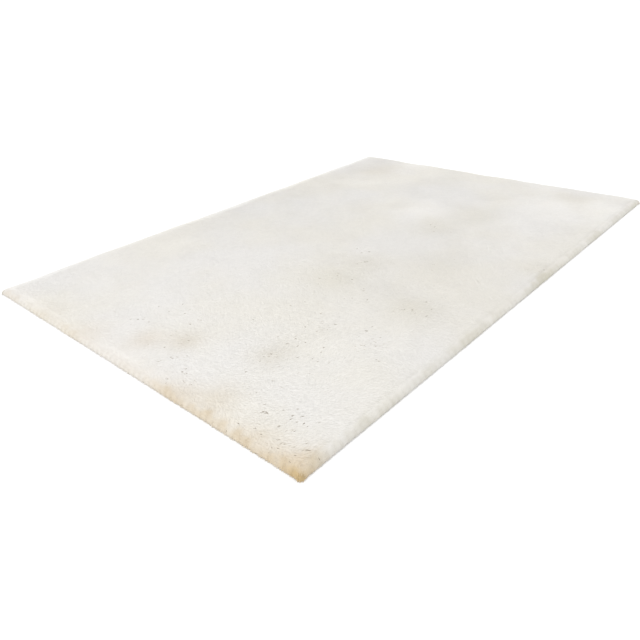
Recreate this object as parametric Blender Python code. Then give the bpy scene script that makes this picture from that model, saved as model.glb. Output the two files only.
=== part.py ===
"""Shag rug, 2.30 m by 1.60 m: a lumpy slab of pile with locks over its rim, on a thin backing cloth.

Metres, +Z up. The origin is the middle of the underside, which lies on the floor; +X runs along the rug.
"""

from collections import namedtuple
from math import cos, exp, hypot, pi, radians, sin

import bmesh
import bpy
from mathutils import Vector, noise

# Driving dimensions
LENGTH = 2.300             # reach of the pile along X, lock tips included
WIDTH = 1.600              # reach of the pile along Y, lock tips included
CORNER_RADIUS = 0.026      # plan rounding of the four corners
PILE_HEIGHT = 0.0222       # mean height of the pile's top above the floor
BACKING_THICKNESS = 0.003  # woven backing cloth
BACKING_SETBACK = 0.018    # how far the cloth stays inside the pile's reach
SEAT_GAP = 0.0003          # between the cloth and the pile that stands on it

# The pile's rim, from its foot up to its top: distance inside the reach, and height above the floor
Ring = namedtuple("Ring", "inset height")
FOOT = Ring(0.0145, BACKING_THICKNESS + SEAT_GAP)
BELLY = Ring(0.0105, 0.0085)
BROW = Ring(0.0110, 0.0130)
SHOULDER = Ring(0.0180, 0.0205)
RIM_SWAY = 0.0010          # how far the rim wanders in and out
FIELD_INSET = 0.044        # where the rim ends and the lumpy field begins
FIELD_CELLS = (44, 31)     # cells of the lumpy field, about 50 mm each way
FIELD_HALF_LENGTH = LENGTH / 2 - FIELD_INSET
FIELD_HALF_WIDTH = WIDTH / 2 - FIELD_INSET

# Locks: tufts of pile that part from the rim side by side, bend out over it and hang to the floor
LOCKS_PER_CELL = 2
LOCKS = 2 * sum(FIELD_CELLS) * LOCKS_PER_CELL
WIDTH_SWING = 0.18         # how far a lock's edge strays from even spacing, as a share of it
Section = namedtuple("Section", "inset height droop width thickness")
LOCK_BEND = Section(inset=0.0050, height=0.0140, droop=40, width=0.82, thickness=0.0065)
LOCK_TIP = Section(inset=0.0012, height=0.0030, droop=78, width=0.26, thickness=0.0022)
TIP_LEAN = 0.0040          # how far a tip leans along the rim
TIP_RISE = 0.0055          # how much shorter the shortest locks hang

# The lumpy top: lumps of two sizes, and the places where the pile is pressed down
Lump = namedtuple("Lump", "height size")
LUMPS = (Lump(0.0036, 0.170), Lump(0.0038, 0.080))
Hollow = namedtuple("Hollow", "x y radius depth")
HOLLOWS = (
    Hollow(-0.95, -0.10, 0.060, 0.0035),
    Hollow(-1.02, 0.01, 0.055, 0.0020),
    Hollow(-1.07, -0.42, 0.060, 0.0025),
    Hollow(-0.84, -0.39, 0.050, 0.0020),
    Hollow(-0.33, -0.19, 0.080, 0.0030),
    Hollow(-0.15, -0.20, 0.050, 0.0025),
    Hollow(-0.36, -0.56, 0.080, 0.0030),
    Hollow(0.03, -0.43, 0.060, 0.0025),
    Hollow(0.33, -0.21, 0.055, 0.0020),
    Hollow(0.17, -0.74, 0.045, 0.0020),
    Hollow(0.56, -0.27, 0.090, 0.0030),
    Hollow(1.00, -0.54, 0.070, 0.0020),
    Hollow(0.91, 0.55, 0.100, 0.0030),
)

# Finishes: colour as sRGB 0 to 255, and roughness
Finish = namedtuple("Finish", "colour roughness")
PILE_FIBRE = Finish((234, 230, 221), 0.95)
BACKING_CLOTH = Finish((178, 173, 163), 0.85)


def clear_scene():
    for obj in list(bpy.data.objects):
        bpy.data.objects.remove(obj, do_unlink=True)


def linear(channel):
    """A 0 to 255 sRGB channel as scene-linear light."""
    share = channel / 255
    return share / 12.92 if share <= 0.04045 else ((share + 0.055) / 1.055) ** 2.4


def material(name, finish):
    made = bpy.data.materials.new(name)
    made.use_nodes = True
    shader = made.node_tree.nodes["Principled BSDF"]
    shader.inputs["Base Color"].default_value = (*map(linear, finish.colour), 1)
    shader.inputs["Roughness"].default_value = finish.roughness
    shader.inputs["Metallic"].default_value = 0
    made.diffuse_color = shader.inputs["Base Color"].default_value
    return made


def add_object(name, mesh_maker, finish):
    """One named object from a bmesh, shaded smooth but for its real edges."""
    mesh = bpy.data.meshes.new(name)
    bmesh.ops.recalc_face_normals(mesh_maker, faces=mesh_maker.faces[:])
    mesh_maker.to_mesh(mesh)
    mesh_maker.free()
    mesh.materials.append(material(f"{name}_finish", finish))
    mesh.shade_smooth()
    mesh.set_sharp_from_angle(angle=pi / 3)
    obj = bpy.data.objects.new(name, mesh)
    bpy.context.scene.collection.objects.link(obj)
    return obj


def rim_point(turn, inset, height):
    """The point that lies `turn` of the way round the rug's rounded outline, moved in and up.

    It starts at the middle of the corner at -X, -Y and first runs towards +X.
    """
    straights = (LENGTH - 2 * CORNER_RADIUS, WIDTH - 2 * CORNER_RADIUS)
    arc = CORNER_RADIUS * pi / 2
    outline = 2 * (sum(straights) + 2 * arc)
    way = (turn * outline - arc / 2) % outline
    radius = CORNER_RADIUS - inset
    for side in range(4):
        straight = straights[side % 2]
        heading = (side - 1) * pi / 2
        outward = Vector((cos(heading), sin(heading), 0))
        along = Vector((-sin(heading), cos(heading), 0))
        middle = outward * straights[(side + 1) % 2] / 2 + Vector((0, 0, height))
        if way <= straight:
            return middle + outward * radius + along * (way - straight / 2)
        way -= straight
        if way <= arc:
            bend = way / CORNER_RADIUS
            return middle + along * straight / 2 + radius * (outward * cos(bend) + along * sin(bend))
        way -= arc


def sway(turn, pace):
    """A slow swing between -1 and 1 round the rim, the same at both ends of a full turn."""
    return 0.6 * sin(2 * pi * pace * turn) + 0.4 * sin(2 * pi * (2 * pace + 3) * turn + pace)


def top_height(x, y):
    """Height of the lumpy top, less the places where the pile is pressed down."""
    height = PILE_HEIGHT
    for layer, lump in enumerate(LUMPS):
        height += lump.height * noise.noise(Vector((x / lump.size, y / lump.size, layer + 0.5)))
    for hollow in HOLLOWS:
        away = hypot(x - hollow.x, y - hollow.y) / hollow.radius
        height -= hollow.depth * exp(-away * away)
    return height


def lock_edge(step):
    """Where on the outline, in turns, the edge between two locks lies: not quite evenly spaced."""
    return (step + WIDTH_SWING * sin(2.4 * step)) / LOCKS


def place_ring(points, ring, pace):
    """Lays a rim's points, one at each edge between locks, on a ring that wanders a little in and out."""
    for step, point in enumerate(points):
        turn = lock_edge(step)
        point.co = rim_point(turn, ring.inset + RIM_SWAY * sway(turn, pace), ring.height)


def ring_edges(pile, points):
    return [pile.edges.get(pair) for pair in zip(points, points[1:] + points[:1])]


def extrude_ring(pile, points, ring, pace):
    """Carries the pile's open edge on to the next ring. Returns that ring's points, in the same order."""
    made = bmesh.ops.extrude_edge_only(pile, edges=ring_edges(pile, points))["geom"]
    new = {item for item in made if isinstance(item, bmesh.types.BMVert)}
    ends = [[edge.other_vert(point) for edge in point.link_edges] for point in points]
    ordered = [next(end for end in choices if end in new) for choices in ends]
    place_ring(ordered, ring, pace)
    return ordered


def way_round_field(point):
    """How far round the field's border a point lies, in cells, from the corner at -X, -Y."""
    across, up = FIELD_CELLS
    x = (point.co.x / FIELD_HALF_LENGTH + 1) / 2 * across
    y = (point.co.y / FIELD_HALF_WIDTH + 1) / 2 * up
    sides = {y: x, across - x: across + y, up - y: across + up + across - x, x: 2 * (across + up) - y}
    return sides[min(sides)] % (2 * (across + up))


def make_field(pile):
    """The lumpy field, and a border with a point for each lock, listed in order round the rug."""
    across, up = FIELD_CELLS
    bmesh.ops.create_grid(pile, x_segments=across, y_segments=up, size=1)
    for vert in pile.verts:
        x, y = vert.co.x * FIELD_HALF_LENGTH, vert.co.y * FIELD_HALF_WIDTH
        vert.co = (x, y, top_height(x, y))
    bmesh.ops.extrude_edge_only(pile, edges=[edge for edge in pile.edges if edge.is_boundary])
    rim = [edge for edge in pile.edges if edge.is_boundary]
    bmesh.ops.subdivide_edges(pile, edges=rim, cuts=LOCKS_PER_CELL - 1)
    return sorted((vert for vert in pile.verts if vert.is_boundary), key=way_round_field)


def place_section(face, along, place, section, root_width):
    """Sets a lock's four-sided section square to the way the lock runs there."""
    outward = along.cross(Vector((0, 0, 1)))
    droop = radians(section.droop)
    across = outward * sin(droop) + Vector((0, 0, cos(droop)))
    centre = face.calc_center_median()
    for vert in face.verts:
        side = 1 if (vert.co - centre).dot(along) > 0 else -1
        over = 1 if (vert.co - centre).dot(across) > 0 else -1
        half_width = root_width * section.width / 2
        vert.co = place + along * side * half_width + across * over * section.thickness / 2


def grow_lock(pile, root, step):
    """Extrudes one face of the rim twice: out over the edge, then down to a narrow, leaning tip."""
    turn = (lock_edge(step) + lock_edge(step + 1)) / 2
    before, after = (rim_point(lock_edge(step + side), LOCK_BEND.inset, 0) for side in (0, 1))
    along = (after - before).normalized()
    lean = TIP_LEAN * sway(turn, 41)
    rise = TIP_RISE * (0.5 + 0.5 * sin(1.7 * step))
    bend = bmesh.ops.extrude_discrete_faces(pile, faces=[root])["faces"][0]
    place = rim_point(turn, LOCK_BEND.inset, LOCK_BEND.height) + along * lean * 0.3
    place_section(bend, along, place, LOCK_BEND, (after - before).length)
    tip = bmesh.ops.extrude_discrete_faces(pile, faces=[bend])["faces"][0]
    place = rim_point(turn, LOCK_TIP.inset, LOCK_TIP.height + rise) + along * lean
    place_section(tip, along, place, LOCK_TIP, (after - before).length)


def make_pile():
    pile = bmesh.new()
    shoulder = make_field(pile)
    place_ring(shoulder, SHOULDER, pace=6)
    brow = extrude_ring(pile, shoulder, BROW, pace=9)
    roots = [edge.link_faces[0] for edge in ring_edges(pile, brow)]
    belly = extrude_ring(pile, brow, BELLY, pace=7)
    foot = extrude_ring(pile, belly, FOOT, pace=5)
    bmesh.ops.holes_fill(pile, edges=ring_edges(pile, foot), sides=0)
    for step, root in enumerate(roots):
        grow_lock(pile, root, step)
    return add_object("pile", pile, PILE_FIBRE)


def make_backing():
    """A flat cloth cut to the rug's rounded outline, a little inside the pile."""
    backing = bmesh.new()
    bmesh.ops.create_cube(backing, size=1)
    bmesh.ops.scale(
        backing,
        vec=(LENGTH - 2 * BACKING_SETBACK, WIDTH - 2 * BACKING_SETBACK, BACKING_THICKNESS),
        verts=backing.verts,
    )
    bmesh.ops.translate(backing, vec=(0, 0, BACKING_THICKNESS / 2), verts=backing.verts)
    corners = [edge for edge in backing.edges if edge.verts[0].co.xy == edge.verts[1].co.xy]
    bmesh.ops.bevel(
        backing,
        geom=corners,
        affect="EDGES",
        offset=CORNER_RADIUS - BACKING_SETBACK,
        segments=6,
        profile=0.5,
        material=-1,
    )
    return add_object("backing", backing, BACKING_CLOTH)


clear_scene()
make_pile()
make_backing()
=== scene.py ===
# %% [markdown]
# # A shag rug, 2.30 m by 1.60 m
#
# The rug is one dense, soft, pale pile on a thin backing cloth. From a step away one sees three things: an
# almost smooth cream top with faint warm patches, small dark partings where tufts fall apart, and rounded
# edges where tufts hang down to the floor. The lesson builds it as a maker would see it: the backing cloth,
# the dense bed of the pile, and then the tufts that stand on that bed and hang over its edges.

from collections import namedtuple
from math import cos, pi, radians, sin

import bmesh
import bpy
import numpy as np
from mathutils import Matrix, Vector, kdtree, noise


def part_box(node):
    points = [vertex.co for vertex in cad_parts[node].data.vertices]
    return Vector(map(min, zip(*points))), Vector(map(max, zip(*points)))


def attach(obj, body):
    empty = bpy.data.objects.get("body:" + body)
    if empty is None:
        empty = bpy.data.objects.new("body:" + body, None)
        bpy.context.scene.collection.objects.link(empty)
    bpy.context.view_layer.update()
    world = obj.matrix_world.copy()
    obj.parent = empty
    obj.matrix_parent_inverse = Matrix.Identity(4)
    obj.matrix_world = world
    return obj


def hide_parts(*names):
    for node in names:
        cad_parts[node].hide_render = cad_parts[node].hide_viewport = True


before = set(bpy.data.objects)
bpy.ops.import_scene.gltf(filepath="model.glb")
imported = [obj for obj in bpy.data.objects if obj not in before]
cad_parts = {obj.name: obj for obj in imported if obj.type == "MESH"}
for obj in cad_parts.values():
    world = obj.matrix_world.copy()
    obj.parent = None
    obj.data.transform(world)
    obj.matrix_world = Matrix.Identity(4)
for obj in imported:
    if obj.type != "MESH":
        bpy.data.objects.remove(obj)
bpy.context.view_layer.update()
pile_low, pile_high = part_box("pile")
backing_low, backing_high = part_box("backing")

# %% [markdown]
# ## The camera
#
# The photograph was taken from above one corner of the rug, close to it and with a wide view, and the
# camera leaned a little to one side. A camera is three things: a place, a direction with its lean, and a
# lens. The direction is written as two compass-like angles, so that each number has a plain meaning, and
# the turned axes are put into a matrix. An aim-at constraint would be shorter, but it can't lean.

# %% Place the camera
CAMERA_PLACE = (-1.8210, -1.5333, 0.9751)
CAMERA_AZIMUTH = radians(-46.241)
CAMERA_ELEVATION = radians(29.325)
CAMERA_LEAN = radians(-3.602)
CAMERA_LENS = 33.661


def camera_axes(azimuth, elevation, lean):
    """The camera's right, up and backward directions."""
    back = Vector((sin(azimuth) * cos(elevation), -cos(azimuth) * cos(elevation), sin(elevation)))
    right = Vector((cos(azimuth), sin(azimuth), 0))
    up = back.cross(right)
    return right * cos(lean) + up * sin(lean), up * cos(lean) - right * sin(lean), back


camera_data = bpy.data.cameras.new("camera")
camera_data.lens = CAMERA_LENS
camera_data.sensor_width = 36
camera_data.clip_start = 0.02
camera = bpy.data.objects.new("camera", camera_data)
turned = Matrix(camera_axes(CAMERA_AZIMUTH, CAMERA_ELEVATION, CAMERA_LEAN)).transposed()
camera.matrix_world = Matrix.Translation(CAMERA_PLACE) @ turned.to_4x4()
bpy.context.scene.collection.objects.link(camera)
bpy.context.scene.camera = camera
print("camera height above the floor:", round(camera.matrix_world.translation.z, 3), "m")

# %% [markdown]
# ## Floor and light
#
# The rug lies in a bright white studio. A white world lights it evenly from all round, which keeps the
# hollows between the tufts soft. Two large lamps add a little shape: the nearer one makes the left side a
# touch brighter than the right one. The plain view transform is used, because a filmic one would turn the
# white floor grey.

# %% Lay the floor and light it
FLOOR_REACH = 60.0
FLOOR_DROP = 0.0002
FLOOR_WHITE = 0.98
FLOOR_ROUGHNESS = 0.9
WORLD_LIGHT = 1.07
Lamp = namedtuple("Lamp", "name place side watts")
LAMPS = (
    Lamp("left_lamp", (-2.2, 0.1, 1.5), 1.2, 8),
    Lamp("right_lamp", (1.5, 0.0, 2.2), 1.2, 7),
)


def link(name, data):
    """A new object in the scene that holds the given mesh or lamp."""
    made = bpy.data.objects.new(name, data)
    bpy.context.scene.collection.objects.link(made)
    return made


def mesh_of(maker, name):
    """Turns a bmesh into a named mesh with its faces pointing out."""
    bmesh.ops.recalc_face_normals(maker, faces=maker.faces[:])
    mesh = bpy.data.meshes.new(name)
    maker.to_mesh(mesh)
    maker.free()
    return mesh


def plain_material(name, colour, roughness):
    """A material of one colour, for the studio alone."""
    made = bpy.data.materials.new(name)
    made.use_nodes = True
    shader = made.node_tree.nodes["Principled BSDF"]
    shader.inputs["Base Color"].default_value = (*colour, 1)
    shader.inputs["Roughness"].default_value = roughness
    return made


floor_maker = bmesh.new()
bmesh.ops.create_grid(floor_maker, x_segments=1, y_segments=1, size=FLOOR_REACH)
bmesh.ops.translate(floor_maker, vec=(0, 0, -FLOOR_DROP), verts=floor_maker.verts)
floor = link("floor", mesh_of(floor_maker, "floor"))
floor.data.materials.append(plain_material("studio_floor", (FLOOR_WHITE,) * 3, FLOOR_ROUGHNESS))

world = bpy.data.worlds.new("studio")
world.use_nodes = True
sky = world.node_tree.nodes["Background"]
sky.inputs["Color"].default_value = (1, 1, 1, 1)
sky.inputs["Strength"].default_value = WORLD_LIGHT
bpy.context.scene.world = world

for lamp in LAMPS:
    lamp_data = bpy.data.lights.new(lamp.name, "AREA")
    lamp_data.size = lamp.side
    lamp_data.energy = lamp.watts
    placed = link(lamp.name, lamp_data)
    placed.location = lamp.place
    placed.rotation_euler = (-Vector(lamp.place)).to_track_quat("-Z", "Y").to_euler()

bpy.context.scene.view_settings.view_transform = "Standard"
bpy.context.scene.view_settings.look = "None"
print("floor and", len(LAMPS), "lamps")

# %% [markdown]
# ## The rug's top
#
# A soft rug never lies quite flat. Its top has thirteen shallow hollows, each a round dent from a table, and
# low lumps from two layers of gentle noise. A displaced mesh would be lumpy too, but a function can be asked
# for the height at any place, and the bed, the tufts' roots and their tips all need it.

# %% Shape the rug's top
PILE_HEIGHT = 0.0222
Lump = namedtuple("Lump", "height size")
LUMPS = (Lump(0.0030, 0.170), Lump(0.0016, 0.080))
Hollow = namedtuple("Hollow", "x y radius depth")
HOLLOWS = (
    Hollow(-0.95, -0.10, 0.060, 0.0035),
    Hollow(-1.02, 0.01, 0.055, 0.0020),
    Hollow(-1.07, -0.42, 0.060, 0.0025),
    Hollow(-0.84, -0.39, 0.050, 0.0020),
    Hollow(-0.33, -0.19, 0.080, 0.0030),
    Hollow(-0.15, -0.20, 0.050, 0.0025),
    Hollow(-0.36, -0.56, 0.080, 0.0030),
    Hollow(0.03, -0.43, 0.060, 0.0025),
    Hollow(0.33, -0.21, 0.055, 0.0020),
    Hollow(0.17, -0.74, 0.045, 0.0020),
    Hollow(0.56, -0.27, 0.090, 0.0030),
    Hollow(1.00, -0.54, 0.070, 0.0020),
    Hollow(0.91, 0.55, 0.100, 0.0030),
)


def smooth_noise(x, y, size, layer):
    """Blender's gradient noise, about -0.7 to 0.7, over an array of places.

    Each layer number gives a pattern of its own.
    """
    places = zip((x / size).tolist(), (y / size).tolist())
    return np.array([noise.noise((u, v, layer)) for u, v in places])


def hills(x, y, spots, spread=1.0):
    """Sum of round bumps over an array of places, from rows of a bump's place, radius and height."""
    total = np.zeros(len(x))
    for spot_x, spot_y, radius, height in spots:
        away = ((x - spot_x) ** 2 + (y - spot_y) ** 2) / (radius * spread) ** 2
        total += height * np.exp(-away)
    return total


def top_height(x, y):
    """How high the rug's top lies, with its hollows and lumps."""
    height = PILE_HEIGHT - hills(x, y, HOLLOWS)
    for layer, lump in enumerate(LUMPS):
        height += lump.height * smooth_noise(x, y, lump.size, layer + 0.5)
    return height


middle = np.zeros(1)
print(len(HOLLOWS), "hollows; the middle of the top lies", *top_height(middle, middle).round(4), "m high")

# %% [markdown]
# ## The rug's sides
#
# A pile runs over the rug's edge without a seam, so every tuft is planted by one rule. The rug is thought
# of as a flat sheet of pile that is a little too large. `drape` lays that sheet over the rug's lumpy top,
# bends what hangs over round its sides and lets the rest run out on the floor. Separate rules for the top
# and the sides would be simpler, but they leave a visible line where they meet. `walk_crest` goes round the
# line where the bend begins.

# %% Drape a flat sheet over the rug's shape
HALF = np.array((pile_high[0] - pile_low[0], pile_high[1] - pile_low[1])) / 2
EDGE_ROUND = 0.0240
EDGE_INSET = 0.0018
EDGE_FOOT = 0.0004
CORNER_REACH = 0.35
CREST = HALF - EDGE_INSET - EDGE_ROUND
SIDE_LENGTH = EDGE_ROUND * pi / 2
OUTLINE = 4 * (CREST.sum() + SIDE_LENGTH)


def unit(ways):
    """Rows of directions, each made one long, and a row of zeros left as it is."""
    return ways / np.maximum(np.linalg.norm(ways, axis=-1, keepdims=True), 1e-9)


def drape(flat):
    """Lays places of the flat sheet over the rug.

    Gives the points, the ways out of the pile there, and the angles bent through.
    """
    top = flat.clip(-CREST, CREST)
    way = unit(flat - top)
    beyond = np.linalg.norm(flat - top, axis=1)
    angle = (beyond / EDGE_ROUND).clip(0, pi / 2)
    reach = EDGE_ROUND * (1 + CORNER_REACH * (2 * way.prod(1)) ** 2)
    rise = top_height(*top.T) - EDGE_FOOT
    on_floor = (beyond - SIDE_LENGTH).clip(0)
    side = top + way * (reach * np.sin(angle) + on_floor)[:, None]
    points = np.column_stack((side, EDGE_FOOT + rise * np.cos(angle)))
    out = np.column_stack((way * (np.sin(angle) / reach)[:, None], np.cos(angle) / rise))
    return points, unit(out), angle


def walk_crest(turn):
    """Points on the crest and the ways out of the rug there, for an array of turns from 0 to 1."""
    distance = (turn * OUTLINE - SIDE_LENGTH / 2) % OUTLINE
    points = np.zeros((len(turn), 2))
    ways_out = np.zeros((len(turn), 2))
    for side in range(4):
        heading = (side - 1) * pi / 2
        outward = np.array((cos(heading), sin(heading)))
        along = np.array((-sin(heading), cos(heading)))
        straight = 2 * CREST[side % 2]
        here = (distance >= 0) & (distance <= straight + SIDE_LENGTH)
        bend = np.clip(distance[here] - straight, 0, None)[:, None] / EDGE_ROUND
        share = np.minimum(distance[here], straight)[:, None] / straight * 2 - 1
        points[here] = outward * CREST[(side + 1) % 2] + along * share * CREST[side % 2]
        ways_out[here] = outward * np.cos(bend) + along * np.sin(bend)
        distance = distance - straight - SIDE_LENGTH
    return points, ways_out


print("the flat sheet hangs over by", round(SIDE_LENGTH, 4), "m")
print("the crest measures", (2 * CREST).round(4), "m")

# %% [markdown]
# ## The backing cloth
#
# The cloth holds the roots of the pile and lies flat on the floor. It is cut a little smaller than the
# pile, so that the pile hides it. It starts as a box, its four upright edges are bevelled into round
# corners, and its top and bottom rims are bevelled again by a hair, as a cut cloth has no knife edge. A
# plane with a Solidify modifier would do as well, but the box has its thickness from the start.

# %% Cut the backing cloth
CLOTH_CORNER = 0.008
CORNER_STEPS = 10
CLOTH_RIM = 0.0004
cloth_maker = bmesh.new()
bmesh.ops.create_cube(cloth_maker, size=1)
cloth_size = Vector(backing_high) - Vector(backing_low)
bmesh.ops.scale(cloth_maker, vec=cloth_size, verts=cloth_maker.verts)
bmesh.ops.translate(cloth_maker, vec=(0, 0, cloth_size.z / 2), verts=cloth_maker.verts)
uprights = [edge for edge in cloth_maker.edges if edge.verts[0].co.xy == edge.verts[1].co.xy]
bmesh.ops.bevel(
    cloth_maker,
    geom=uprights,
    affect="EDGES",
    offset=CLOTH_CORNER,
    segments=CORNER_STEPS,
    profile=0.5,
    material=-1,
)
rims = [edge for edge in cloth_maker.edges if abs(edge.verts[0].co.z - edge.verts[1].co.z) < 1e-6]
bmesh.ops.bevel(
    cloth_maker,
    geom=rims,
    affect="EDGES",
    offset=CLOTH_RIM,
    segments=2,
    profile=0.5,
    material=-1,
)
backing_cloth = link("backing_cloth", mesh_of(cloth_maker, "backing_cloth"))
backing_cloth.data.shade_smooth()
backing_cloth.data.set_sharp_from_angle(angle=pi / 3)
print("backing cloth:", len(backing_cloth.data.polygons), "faces")

# %% [markdown]
# ## The bed of the pile
#
# A real pile is so dense that no light reaches the cloth. Modelling every hair down to the cloth would
# waste most of them, so all but the last millimetre of the pile is one closed bed. It is a grid that
# carries the rug's lumps. Its border is extruded ring by ring round the bend to the foot, and closed
# underneath.

# %% Shape the bed of the pile
BED_CELL = 0.0105
BED_FIELD_INSET = 0.040
STAND = 0.0012
BED_ANGLES = np.radians((10, 28, 46, 64, 88))
Ring = namedtuple("Ring", "reach height")
BED_UNDERSIDE = Ring(0.0110, 0.0036)
field_half = HALF - BED_FIELD_INSET
bed_cells = [round(2 * side / BED_CELL) for side in field_half]


def way_round_bed(vert):
    """How far round the bed's border a point lies, in cells, from the corner at -X, -Y."""
    across, up = bed_cells
    x = (vert.co.x / field_half[0] + 1) / 2 * across
    y = (vert.co.y / field_half[1] + 1) / 2 * up
    sides = {y: x, across - x: across + y, up - y: across + up + across - x, x: 2 * (across + up) - y}
    return sides[min(sides)] % (2 * (across + up))


def ordered_border(maker):
    return sorted((vert for vert in maker.verts if vert.is_boundary), key=way_round_bed)


def extrude_border(maker, border):
    """Extrudes the open border and returns the new points in the old ones' order."""
    edges = [maker.edges.get(pair) for pair in zip(border, border[1:] + border[:1])]
    made = bmesh.ops.extrude_edge_only(maker, edges=edges)["geom"]
    new = {item for item in made if isinstance(item, bmesh.types.BMVert)}
    ends = [[edge.other_vert(vert) for edge in vert.link_edges] for vert in border]
    return [next(end for end in choices if end in new) for choices in ends]


def place_under_surface(verts, flat):
    """Moves points to the places on the sheet, a tuft's stand under the surface."""
    points, out, _ = drape(flat)
    for vert, place in zip(verts, points - STAND * out):
        vert.co = place


bed_maker = bmesh.new()
bmesh.ops.create_grid(bed_maker, x_segments=bed_cells[0], y_segments=bed_cells[1], size=1)
bmesh.ops.scale(bed_maker, vec=(*field_half, 1), verts=bed_maker.verts)
place_under_surface(bed_maker.verts, np.array([vert.co.xy for vert in bed_maker.verts]))
border = ordered_border(bed_maker)
crest, ways_out = walk_crest(np.arange(len(border)) / len(border))
for angle in BED_ANGLES:
    border = extrude_border(bed_maker, border)
    place_under_surface(border, crest + ways_out * EDGE_ROUND * angle)
border = extrude_border(bed_maker, border)
for vert, place in zip(border, crest + ways_out * BED_UNDERSIDE.reach):
    vert.co = (*place, BED_UNDERSIDE.height)
foot_edges = [bed_maker.edges.get(pair) for pair in zip(border, border[1:] + border[:1])]
bmesh.ops.holes_fill(bed_maker, edges=foot_edges, sides=0)
pile_bed = link("pile_bed", mesh_of(bed_maker, "pile_bed"))
pile_bed.data.shade_smooth()
print("bed of the pile:", len(pile_bed.data.polygons), "faces")

# %% [markdown]
# ## One tuft
#
# A tuft is a pinch of hairs that cling together, wide at its root and drawn to a point. About two hundred
# thousand of them are needed, so one tuft is only a three-sided cone, four triangles from one operator. It
# is made once, and its points are then repeated as an array. A copied object for each tuft would be far too
# slow, and real hair curves don't carry over to a mesh.

# %% Make one tuft
tuft_maker = bmesh.new()
bmesh.ops.create_cone(
    tuft_maker, cap_ends=True, cap_tris=False, segments=3, radius1=1, radius2=0, depth=1
)
bmesh.ops.remove_doubles(tuft_maker, verts=tuft_maker.verts, dist=0.001)
bmesh.ops.translate(tuft_maker, vec=(0, 0, 0.5), verts=tuft_maker.verts)
bmesh.ops.recalc_face_normals(tuft_maker, faces=tuft_maker.faces[:])
tuft_maker.verts.index_update()
tuft_points = np.array([vert.co for vert in tuft_maker.verts])
tuft_faces = np.array([[vert.index for vert in face.verts] for face in tuft_maker.faces])
tuft_maker.free()
print("one tuft:", len(tuft_points), "points and", len(tuft_faces), "triangles")

# %% [markdown]
# ## Where the pile parts
#
# Where the pile has been brushed against its lie, tufts fall apart and one looks into a dark gap of a few
# millimetres. These partings come in groups, most of them on the near left of the rug. They could be painted
# on an image, but a short table in metres is easier to read and to change. It lists the restless places of
# the pile, with how restless each is and how many partings it has. A seeded draw scatters the partings in
# each place, so that every run gives the same rug. Each parting is a short line, kept as three spots in a
# row, and most of them are shallow.

# %% Scatter the partings in groups
SEED = 11
draw = np.random.default_rng(SEED)
Restless = namedtuple("Restless", "x y radius strength partings")
RESTLESS = (
    Restless(-1.09, -0.75, 0.05, 1.0, 36),
    Restless(-1.12, -0.69, 0.03, 1.0, 18),
    Restless(-1.12, -0.62, 0.03, 1.0, 18),
    Restless(-1.04, -0.66, 0.08, 1.0, 66),
    Restless(-1.06, -0.56, 0.09, 1.0, 60),
    Restless(-1.08, -0.30, 0.06, 0.8, 36),
    Restless(-1.03, -0.17, 0.07, 0.8, 42),
    Restless(-0.97, -0.05, 0.07, 0.8, 30),
    Restless(-0.88, 0.04, 0.12, 0.6, 30),
    Restless(-0.98, 0.15, 0.10, 0.5, 18),
    Restless(-1.09, 0.42, 0.05, 0.5, 15),
    Restless(-0.62, -0.38, 0.06, 0.8, 36),
    Restless(-0.74, -0.38, 0.06, 0.7, 24),
    Restless(-0.85, -0.38, 0.05, 0.7, 18),
    Restless(-0.62, -0.58, 0.08, 1.0, 72),
    Restless(-0.78, -0.50, 0.15, 0.6, 42),
    Restless(-0.36, -0.55, 0.09, 0.7, 36),
    Restless(-0.31, -0.16, 0.06, 0.6, 24),
    Restless(-0.15, -0.19, 0.05, 0.6, 18),
    Restless(-0.05, -0.12, 0.05, 0.4, 9),
    Restless(0.02, -0.44, 0.07, 0.5, 15),
    Restless(0.33, -0.21, 0.06, 0.5, 15),
    Restless(0.17, -0.74, 0.04, 0.5, 15),
    Restless(-0.45, -0.30, 0.20, 0.3, 30),
    Restless(-0.95, -0.40, 0.15, 0.6, 42),
)
PARTING_SPREAD = 0.45
PARTING_LENGTH = 0.006
PARTING_DEPTH = 0.80
SHALLOWEST = 0.15

parting_groups = [
    draw.normal((group.x, group.y), PARTING_SPREAD * group.radius, (group.partings, 2))
    for group in RESTLESS
]
partings = np.concatenate(parting_groups)
heading = draw.uniform(0, 2 * pi, len(partings))
length = draw.uniform(0, PARTING_LENGTH, len(partings))
reach = np.stack((np.cos(heading), np.sin(heading)), -1) * length[:, None] / 2
partings = np.concatenate((partings - reach, partings, partings + reach))
parting_depths = np.tile(PARTING_DEPTH * draw.uniform(SHALLOWEST, 1.0, len(heading)) ** 2, 3)
print(len(heading), "partings in", len(RESTLESS), "groups")
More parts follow.
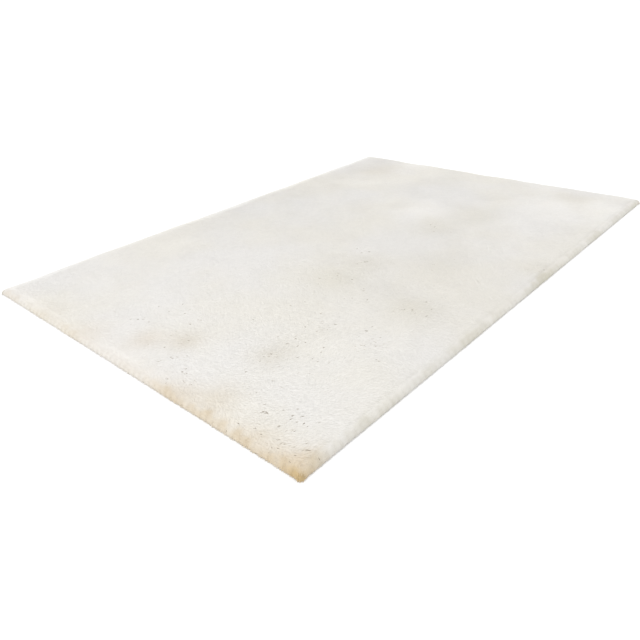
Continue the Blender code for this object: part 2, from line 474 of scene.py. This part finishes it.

# %% [markdown]
# ## Where shade and light are painted on the fibre
#
# The cream is given painted shade in places, a faint tan or olive, most of all along the left edge and at
# the near corner. Round spots from a table paint shade where the pile's lie or a hollow turns it from the
# light, and a few darken places that the lamps light too brightly. The left side gets a painted warm glow
# on its lit shoulder and painted warm shade on its rim and at the near corner, where one looks deep into
# the pile, and the shaded front rim gets painted olive shade. Those of the rims and the corner follow the
# rug's outline, so they are worked out from the distance to it, and a noise makes them wander. Shade that
# is painted on the points by hand would be lost with every change of the tufts.

# %% Paint shade and light on the fibre
Tint = namedtuple("Tint", "x y radius tan olive shade")
# Each row is a round spot of painted shade: tan or olive where the pile's lie, a hollow or the left rim
# turns the fibre from the light, and darker where the lamps light a place too brightly.
SHADE_SPOTS = (
    Tint(-0.95, -0.10, 0.055, 0.16, 0.05, -0.03),
    Tint(-1.02, 0.01, 0.060, 0.20, 0.00, -0.01),
    Tint(-1.07, -0.42, 0.060, 0.16, 0.06, -0.01),
    Tint(-0.84, -0.39, 0.070, 0.06, 0.14, -0.02),
    Tint(-0.33, -0.19, 0.110, 0.00, 0.16, 0.00),
    Tint(-0.15, -0.20, 0.080, 0.02, 0.15, -0.01),
    Tint(-0.36, -0.56, 0.100, 0.02, 0.18, -0.02),
    Tint(0.03, -0.43, 0.100, 0.02, 0.14, 0.00),
    Tint(0.33, -0.21, 0.100, 0.02, 0.20, -0.01),
    Tint(0.17, -0.75, 0.060, 0.02, 0.10, 0.00),
    Tint(0.56, -0.27, 0.120, 0.02, 0.24, -0.02),
    Tint(1.00, -0.54, 0.080, 0.04, 0.10, -0.03),
    Tint(0.91, 0.55, 0.150, 0.07, 0.06, -0.01),
    Tint(-1.13, -0.32, 0.060, 0.17, 0.00, -0.02),
    Tint(-1.14, -0.63, 0.060, 0.18, 0.00, -0.01),
    Tint(-1.12, 0.20, 0.080, 0.12, 0.02, -0.01),
    Tint(-1.12, 0.45, 0.080, 0.04, 0.00, -0.01),
    Tint(1.12, 0.60, 0.120, 0.00, 0.02, -0.04),
    Tint(1.12, 0.20, 0.120, 0.00, 0.00, -0.02),
    Tint(-0.15, -0.35, 0.450, 0.01, 0.05, 0.00),
    Tint(-0.30, -0.40, 0.080, 0.01, 0.06, -0.02),
)
RIM_WIDTH = 0.018
RIM_BLUR = 0.004
RIM_WANDER = 0.018
RIM_WANDER_SIZE = 0.030
RIM_WARM_SHADE = 0.54
RIM_SHADE = 0.02
SHOULDER_WARM_GLOW = 0.42
SHOULDER_REACH = 0.060
FAR_TAN = 0.21
NEAR_TAN = 0.27
NEAR_FROM = -0.20
NEAR_BLUR = 0.14
CORNER_WARM_SHADE = 0.60
CORNER_WARM_SHADE_REACH = 0.080
FRONT_OLIVE_SHADE = 0.28
FRONT_SHADE = 0.035
PATCH_SIZE = 0.12
PATCH_CONTRAST = 1.3


def soft_step(distance, blur):
    """1 well below a distance of 0 and 0 well above it."""
    return 1 / (1 + np.exp(distance / blur))


def fade(distance, reach):
    """1 up to a distance of 0, and from there less and less over the reach."""
    return np.exp(-((distance.clip(0) / reach) ** 2))


def painted_shade_at(x, y):
    """Painted tan, olive and shade at an array of places, each 0 where no shade is painted."""
    kinds = ("tan", "olive", "shade")
    spots = [[(shade_spot.x, shade_spot.y, shade_spot.radius, getattr(shade_spot, kind)) for shade_spot in SHADE_SPOTS] for kind in kinds]
    tan, olive, shade = (hills(x, y, column) for column in spots)
    wander = RIM_WANDER * smooth_noise(x, y, RIM_WANDER_SIZE, 3.5)
    patches = 1 + PATCH_CONTRAST * smooth_noise(x, y, PATCH_SIZE, 5.5)
    from_left, from_front = x + HALF[0], y + HALF[1]
    left_rim = soft_step(from_left - RIM_WIDTH - wander, RIM_BLUR)
    front_rim = soft_step(from_front - RIM_WIDTH - wander, RIM_BLUR)
    # Painted warm glow on the lit left shoulder, and painted warm shade on the left rim, where one looks
    # deep into the pile.
    left_glow_and_shade = SHOULDER_WARM_GLOW * fade(from_left - wander, SHOULDER_REACH) + RIM_WARM_SHADE * left_rim * patches
    tan = tan + left_glow_and_shade * (FAR_TAN + NEAR_TAN * soft_step(y - NEAR_FROM, NEAR_BLUR))
    # Painted warm shade at the near corner, where one looks deep into the pile.
    tan = tan + CORNER_WARM_SHADE * fade(np.hypot(from_left, from_front) - wander, CORNER_WARM_SHADE_REACH)
    # Painted olive shade and painted darker shade along the shaded front rim, and painted shade on the left
    # rim.
    olive = olive + FRONT_OLIVE_SHADE * front_rim * patches
    return tan, olive, shade - FRONT_SHADE * front_rim - RIM_SHADE * left_rim


print(len(SHADE_SPOTS), "tinted spots")

# %% [markdown]
# ## Sewing the tufts
#
# Each tuft gets a root, a tip, a way out of the pile and a width. All tufts of one piece are worked out
# together as arrays: the one tuft's points times these numbers. It is also pressed flat, since a brushed
# tuft lies on its neighbours as a thin blade with a low ridge, and a round cone would catch far more shade.
# Each point carries four small numbers that the material reads: how high it is on its tuft, how much
# painted tan and olive shade it has, and how light it is, which also carries painted shade. A UV map gives
# every tuft its own little square, so that its colours can be baked.

# %% Sew many tufts into one mesh
TUFT_THICKNESS = 0.0008
ROOT_RISE = 0.3
CAP_STRIP = 0.12
CAP_FILL = 0.9
CELL_MARGIN = 0.06


def tuft_layout():
    """Where each corner of the tuft's faces lies in its little square.

    The sides lie above a strip that holds the root's cap.
    """
    places = []
    for face in tuft_faces:
        corners = tuft_points[face]
        around = np.arctan2(corners[:, 1], corners[:, 0]) / (2 * pi) % 1
        if corners[:, 2].max() == 0:
            order = np.argsort(np.argsort(around))
            places.append(np.stack((order / 2, CAP_STRIP * CAP_FILL * (order == 1)), -1))
            continue
        on_axis = np.hypot(corners[:, 0], corners[:, 1]) < 1e-6
        ring = around[~on_axis]
        ring = np.where(ring < ring.max() - 0.5, ring + 1, ring)
        around[~on_axis] = ring
        around[on_axis] = ring.mean()
        places.append(np.stack((around, CAP_STRIP + (1 - CAP_STRIP) * corners[:, 2]), -1))
    places = np.array(places)
    low, high = places.reshape(-1, 2).min(0), places.reshape(-1, 2).max(0)
    return CELL_MARGIN + (1 - 2 * CELL_MARGIN) * (places - low) / (high - low)


def sew(name, root, tip, out, width, tone):
    """One mesh of tufts, from rows of root and tip points, ways out, widths and the numbers of tone."""
    count = len(root)
    across = unit(np.cross(out, tip - root)) * width[:, None]
    ridge = TUFT_THICKNESS * out
    px, py, pz = (column[None, :, None] for column in tuft_points.T)
    co = root[:, None] + px * across[:, None] + py * ridge[:, None] + pz * (tip - root)[:, None]
    faces = (tuft_faces[None] + len(tuft_points) * np.arange(count)[:, None, None]).reshape(-1, 3)
    mesh = bpy.data.meshes.new(name)
    mesh.from_pydata(co.reshape(-1, 3).tolist(), [], faces.tolist())
    tones = np.repeat(tone[:, None], len(tuft_points), 1)
    tones[:, :, 0] *= ROOT_RISE + (1 - ROOT_RISE) * tuft_points[None, :, 2]
    mesh.attributes.new("pile_tone", "FLOAT_COLOR", "POINT").data.foreach_set("color", tones.ravel())
    columns = int(np.ceil(count**0.5))
    cells = np.stack((np.arange(count) % columns, np.arange(count) // columns), -1)
    places = (cells[:, None, None] + tuft_layout()[None]) / columns
    mesh.uv_layers.new(name="OFBake").data.foreach_set("uv", places.ravel())
    return link(name, mesh)


PLAIN_LIGHTNESS = 0.58
LIGHTNESS_RANGE = 0.40
LIGHTNESS_SCATTER = 0.05
UNREST_SCATTER = 0.06


def tone_at(x, y, rise, unrest=0):
    """The four numbers of each tuft: rise, tan, olive, and lightness as a share of its range."""
    tan, olive, shade = painted_shade_at(x, y)
    scatter = draw.uniform(-1, 1, len(x)) * (LIGHTNESS_SCATTER + UNREST_SCATTER * unrest)
    lightness = PLAIN_LIGHTNESS + shade / LIGHTNESS_RANGE + scatter
    return np.stack((rise, tan, olive, lightness), -1).clip(0, 1)


print("a tuft's square in the UV map holds", len(tuft_layout()), "triangles")

# %% [markdown]
# ## Where the tufts are rooted
#
# A tufting machine sets its needles in even rows, and wear moves the tufts a little. So the roots stand on
# a honeycomb on the flat sheet, and each is then moved by a small random step. A free random scatter would
# leave bare spots and heaps. The last few millimetres of the sheet carry no roots, since the lowest tufts
# only reach out over the floor with their tips.

# %% Scatter the roots over the sheet
TUFT_SPACING = 0.0045
TUFT_JITTER = 0.28
ROW_STEP = 0.866
LAST_ROOT = 0.0055


def honeycomb(spacing, jitter):
    """Jittered places over the whole flat sheet."""
    half = CREST + SIDE_LENGTH
    steps = (spacing, spacing * ROW_STEP)
    columns, rows = (int(np.ceil(2 * side / step)) for side, step in zip(half, steps))
    row, column = np.mgrid[:rows, :columns].reshape(2, -1)
    places = np.stack(((column + 0.5 * (row % 2)) * steps[0], row * steps[1]), -1) - half
    return places + draw.uniform(-jitter, jitter, places.shape) * spacing


flat = honeycomb(TUFT_SPACING, TUFT_JITTER)
beyond_crest = flat - flat.clip(-CREST, CREST)
flat = flat[np.linalg.norm(beyond_crest, axis=1) < SIDE_LENGTH - LAST_ROOT]
beyond_crest = flat - flat.clip(-CREST, CREST)
surface, out, angle = drape(flat)
x, y, _ = surface.T
count = len(flat)
print(count, "roots, the lowest", surface[:, 2].min().round(4), "m above the floor")

# %% [markdown]
# ## How the tufts lie
#
# All tufts lean one way, which wanders slowly over the rug, as pile does that has been rolled up and
# brushed. Toward the sides they turn outward, so that they hang down over the bend. There they are a little
# shorter, or their tips would pile up on the floor.

# %% Lay the tufts over
TUFT_LEAN = 0.0125
LIE = radians(-70)
LIE_DRIFT = 1.5
LIE_DRIFT_SIZE = 0.45
LIE_WAVE = 0.8
LIE_WAVE_SIZE = 0.11
LIE_SCATTER = 0.22
EDGE_TURN = 0.010
SIDE_SHORTER = 0.3

lie = LIE + LIE_DRIFT * smooth_noise(x, y, LIE_DRIFT_SIZE, 7.5)
lie += LIE_WAVE * smooth_noise(x, y, LIE_WAVE_SIZE, 8.5)
lie += draw.normal(0, LIE_SCATTER, count)
pull = np.sign(flat) * np.exp(-np.clip(CREST - np.abs(flat), 0, None) / EDGE_TURN)
strength = np.linalg.norm(pull, axis=1, keepdims=True).clip(0, 1)
lean = unit(np.stack((np.cos(lie), np.sin(lie)), -1) * (1 - strength) + unit(pull) * strength)
lean *= TUFT_LEAN * (1 - SIDE_SHORTER * strength)
print("the tufts' lie, in degrees:", np.degrees(lie.min()).round(), "to", np.degrees(lie.max()).round())

# %% [markdown]
# ## Clumps and locks
#
# Tufts cling to their neighbours. On the top they lean together in small loose clumps, more so in the
# restless places. Down the sides they gather into about three hundred locks, as in the solids: each lock
# swells in its middle, and its tufts lean toward it. Both only move roots and tips a little, so no tuft has
# to be made anew.

# %% Gather the tufts in clumps and locks
CLUMP_SPACING = 0.017
CLUMP_JITTER = 0.45
CLUMP_PULL = 0.03
RESTLESS_PULL = 0.05
UNREST_SPREAD = 1.3
LOCK_PITCH = 0.0259
LOCK_SWELL = 0.0006
LOCK_GATHER = 0.10


def nearest(spots, places):
    """The way from each place to its nearest spot, and which spot that is."""
    tree = kdtree.KDTree(len(spots))
    for index, spot in enumerate(spots):
        tree.insert((*spot, 0), index)
    tree.balance()
    found = [tree.find((u, v, 0))[1] for u, v in places.tolist()]
    return spots[found] - places, found


restless_spots = [(group.x, group.y, group.radius, group.strength) for group in RESTLESS]
unrest = hills(x, y, restless_spots, UNREST_SPREAD).clip(0, 1)
to_clump, _ = nearest(honeycomb(CLUMP_SPACING, CLUMP_JITTER), flat)
lean += to_clump * (CLUMP_PULL + RESTLESS_PULL * unrest)[:, None]
steep = np.sin(angle)
way_x, way_y = unit(beyond_crest).T
round_corner = EDGE_ROUND * np.arctan2(np.abs(way_x), np.abs(way_y))
along_side = flat.clip(-CREST, CREST).sum(1) + round_corner
in_lock = along_side / LOCK_PITCH % 1 - 0.5
gather = in_lock * LOCK_PITCH * LOCK_GATHER * steep * (1 - (2 * way_x * way_y) ** 2)
lean -= np.stack((np.abs(way_y), np.abs(way_x)), -1) * gather[:, None]
swell = LOCK_SWELL * np.cos(2 * pi * in_lock) * steep
print("locks round the rug: about", round(OUTLINE / LOCK_PITCH))

# %% [markdown]
# ## Planting the tufts
#
# Root and tip are both draped, so a tuft follows the bend. At a parting the tufts are narrower, lie a hair
# lower and are dark, as they stand in the shade of the gap. The tufts down the sides are one mesh, and
# those on the top are cut into strips, because one mesh of them all would be too heavy.

# %% Plant the tufts
TUFT_WIDTH = 0.0034
WIDTH_SCATTER = 0.1
TUFT_SINK = 0.0012
TIP_SCATTER = 0.08
PARTING_REACH = 0.0026
PARTING_SINK = 0.1
PARTING_NARROWS = 0.35
PARTING_DARKENS = 2
STRIPS = 5

to_parting, which = nearest(partings, flat + lean / 2)
parting = parting_depths[which] * np.exp(-(np.hypot(*to_parting.T) / PARTING_REACH) ** 2)
root = surface - out * (STAND + TUFT_SINK - swell)[:, None]
tip, tip_out, _ = drape(flat + lean)
uneven = STAND * draw.uniform(-TIP_SCATTER, TIP_SCATTER, count)
tip += tip_out * (swell + uneven - PARTING_SINK * STAND * parting)[:, None]
width = TUFT_WIDTH * draw.uniform(1 - WIDTH_SCATTER, 1 + WIDTH_SCATTER, count)
width *= 1 - PARTING_NARROWS * parting
tone = tone_at(x, y, 1 - PARTING_DARKENS * parting, unrest)
rows = (root, tip, out, width, tone)
on_side = angle > 0
edge_tufts = sew("edge_tufts", *(row[on_side] for row in rows))
order = np.argsort(np.where(on_side, np.inf, x), kind="stable")[: count - on_side.sum()]
pile_tufts = []
for number, part in enumerate(np.array_split(order, STRIPS), 1):
    pile_tufts.append(sew(f"pile_tufts_{number}", *(row[part] for row in rows)))
print(on_side.sum(), "tufts down the sides and", len(order), "on the top, in", STRIPS, "strips")

# %% [markdown]
# ## A short way to write materials
#
# A material is a tree of nodes, and written out in full each node takes several lines. So a small class
# holds the tree of one material, and each of its calls adds a node or links one. Colours are written as the
# usual numbers from 0 to 255 and turned into linear light, which is what the nodes work in.

# %% Make helpers for the materials


def linear(channel):
    """A 0 to 255 sRGB channel as scene-linear light."""
    share = channel / 255
    return share / 12.92 if share <= 0.04045 else ((share + 0.055) / 1.055) ** 2.4


class Nodes:
    """The tree of one material, with short calls that add its nodes and link them."""

    def __init__(self, name):
        self.material = bpy.data.materials.new(name)
        self.material.use_nodes = True
        self.tree = self.material.node_tree
        self.shader = self.tree.nodes["Principled BSDF"]

    def add(self, kind, output, settings=(), **inputs):
        """One node with its settings and inputs, and the output asked for."""
        node = self.tree.nodes.new(kind)
        for key, value in dict(settings).items():
            setattr(node, key, value)
        for key, value in inputs.items():
            self.put(node.inputs[key.replace("_", " ")], value)
        return node.outputs[output]

    def put(self, socket, value):
        """Links an output to a socket, or sets a constant on it."""
        if isinstance(value, bpy.types.NodeSocket):
            self.tree.links.new(value, socket)
        else:
            socket.default_value = value

    def mix(self, share, first, second, blend="MIX"):
        """Colours mixed or multiplied by a share."""
        node = self.tree.nodes.new("ShaderNodeMix")
        node.data_type = "RGBA"
        node.blend_type = blend
        for socket, value in zip((node.inputs[0], node.inputs[6], node.inputs[7]), (share, first, second)):
            self.put(socket, (*map(linear, value), 1) if isinstance(value, tuple) else value)
        return node.outputs[2]

    def grey(self, value):
        """One value as a grey colour."""
        return self.add("ShaderNodeCombineColor", "Color", Red=value, Green=value, Blue=value)

    def maths(self, operation, *values):
        """One operation on up to three values."""
        node = self.tree.nodes.new("ShaderNodeMath")
        node.operation = operation
        for socket, value in zip(node.inputs, values):
            self.put(socket, value)
        return node.outputs["Value"]

    def finish(self, **inputs):
        """Sets or links the surface's own inputs."""
        for key, value in inputs.items():
            self.put(self.shader.inputs[key.replace("_", " ")], value)

    def curve(self, value, low, high, to_low, to_high):
        """A value carried from one range to another, softly, and kept in it."""
        return self.add(
            "ShaderNodeMapRange",
            "Result",
            {"interpolation_type": "SMOOTHSTEP"},
            Value=value,
            From_Min=low,
            From_Max=high,
            To_Min=to_low,
            To_Max=to_high,
        )

    def noise(self, scale, detail=2.0, stretch=(1, 1, 1)):
        """A noise over the object's own space, in features per metre."""
        place = self.add("ShaderNodeTexCoord", "Object")
        place = self.add("ShaderNodeMapping", "Vector", Vector=place, Scale=stretch)
        return self.add("ShaderNodeTexNoise", "Fac", Vector=place, Scale=scale, Detail=detail)


print("a channel of 247 is", round(linear(247), 3), "as linear light")

# %% [markdown]
# ## The look of the fibre
#
# The fibre is cream and matt. Its colour is mixed in steps, each with its own reason: two creams that drift
# into each other over the rug, then the painted tan and olive light and shade, then a warmer, deeper painted
# shade toward the root, where light has passed between many hairs, and a painted dark shade in the gaps
# where the pile parts. Last come two small changes of lightness, one that drifts over a few centimetres and
# one from tuft to tuft, which also carries painted shade. A fine noise, drawn out in height, gives single
# hairs, as bump only. A picture of fur would be quicker, but it repeats and it doesn't follow the tufts.

# %% Mix the fibre's finish
CREAM = (247, 244, 237)
COOL_CREAM = (247, 245, 242)
TAN = (219, 192, 142)
OLIVE = (211, 205, 178)
ROOT_SHADE = (234, 226, 210)
GAP_SHADE = (150, 138, 118)
CREAM_PER_METRE = 2.2
DRIFT_PER_METRE = 38
HAIRS_PER_METRE = 900
BED_RISE = 0.8

fibre = Nodes("pile_fibre")
carried = fibre.tree.nodes.new("ShaderNodeAttribute")
carried.attribute_name = "pile_tone"
split = fibre.tree.nodes.new("ShaderNodeSeparateColor")
fibre.tree.links.new(carried.outputs["Color"], split.inputs["Color"])
rise, tan, olive = (split.outputs[key] for key in ("Red", "Green", "Blue"))
coolness = fibre.noise(CREAM_PER_METRE, detail=3.0)
coolness = fibre.curve(coolness, low=0.35, high=0.65, to_low=0, to_high=1)
colour = fibre.mix(coolness, CREAM, COOL_CREAM)
colour = fibre.mix(olive, colour, OLIVE)
colour = fibre.mix(tan, colour, TAN)
# Painted warm shade toward each tuft's root, deep in the pile.
root_shading = fibre.curve(rise, low=ROOT_RISE, high=0.8, to_low=0.25, to_high=0)
colour = fibre.mix(root_shading, colour, ROOT_SHADE, "MULTIPLY")
# Painted dark shade on the tufts that stand in a parting's gap.
gap_shadow = fibre.curve(rise, low=0, high=ROOT_RISE, to_low=1, to_high=0)
colour = fibre.mix(gap_shadow, colour, GAP_SHADE, "MULTIPLY")
drift = fibre.curve(fibre.noise(DRIFT_PER_METRE), low=0.3, high=0.7, to_low=0.98, to_high=1.0)
colour = fibre.mix(1, colour, fibre.grey(drift), "MULTIPLY")
lightness = fibre.maths("MULTIPLY_ADD", carried.outputs["Alpha"], LIGHTNESS_RANGE, 1 - LIGHTNESS_RANGE)
colour = fibre.mix(1, colour, fibre.grey(lightness), "MULTIPLY")
hairs = fibre.noise(HAIRS_PER_METRE, stretch=(1, 1, 0.35))
hair_bump = fibre.add("ShaderNodeBump", "Normal", Height=hairs, Strength=0.25, Distance=0.001)
fibre.finish(Base_Color=colour, Roughness=0.9, Sheen_Weight=0.2, Sheen_Roughness=0.6, Normal=hair_bump)
bed_count = len(pile_bed.data.vertices)
bed_points = np.array([vert.co for vert in pile_bed.data.vertices])
bed_tone = tone_at(*bed_points.T[:2], np.full(bed_count, BED_RISE))
bed_tones = pile_bed.data.attributes.new("pile_tone", "FLOAT_COLOR", "POINT")
bed_tones.data.foreach_set("color", bed_tone.ravel())
for piece in (pile_bed, edge_tufts, *pile_tufts):
    piece.data.materials.append(fibre.material)
print("fibre finish:", len(fibre.tree.nodes), "nodes")

# %% [markdown]
# ## The look of the backing cloth
#
# The backing is a plain woven cloth in a greyer yarn. Two waves crossing each other, one for the warp and
# one for the weft, raise and shade its threads. Real threads could be modelled, but nobody sees them under
# a pile.

# %% Weave the backing's finish
YARN_PITCH = 0.0022
BANDS_PER_METRE = 2 * pi / (20 * YARN_PITCH)
YARN_LIGHT = (190, 184, 172)
YARN_DARK = (150, 144, 132)

weave = Nodes("backing_cloth")
place = weave.add("ShaderNodeTexCoord", "Object")
threads = [
    weave.add(
        "ShaderNodeTexWave",
        "Fac",
        {"bands_direction": way},
        Vector=place,
        Scale=BANDS_PER_METRE,
        Distortion=0.6,
        Detail=1.0,
    )
    for way in "XY"
]
woven = weave.maths("MULTIPLY", *threads)
yarn = weave.mix(woven, YARN_DARK, YARN_LIGHT)
yarn_bump = weave.add("ShaderNodeBump", "Normal", Height=woven, Distance=0.0006)
weave.finish(Base_Color=yarn, Roughness=0.85, Normal=yarn_bump)
backing_cloth.data.materials.append(weave.material)
print("backing finish:", len(weave.tree.nodes), "nodes")

# %% [markdown]
# ## What each piece stands for
#
# The whole rug is one body, so every piece rides on it. The bed takes the place of the pile's solid, and
# the cloth that of the backing's, so both solids are hidden. The cloth lies flat on the floor, with the pile
# on it.

pile_pieces = [pile_bed, edge_tufts, *pile_tufts]
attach(backing_cloth, "root")
for piece in pile_pieces:
    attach(piece, "root")
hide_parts("pile")
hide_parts("backing")

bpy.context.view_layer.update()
triangles = sum(len(face.vertices) - 2 for piece in pile_pieces for face in piece.data.polygons)
print("triangles in the pile:", triangles)
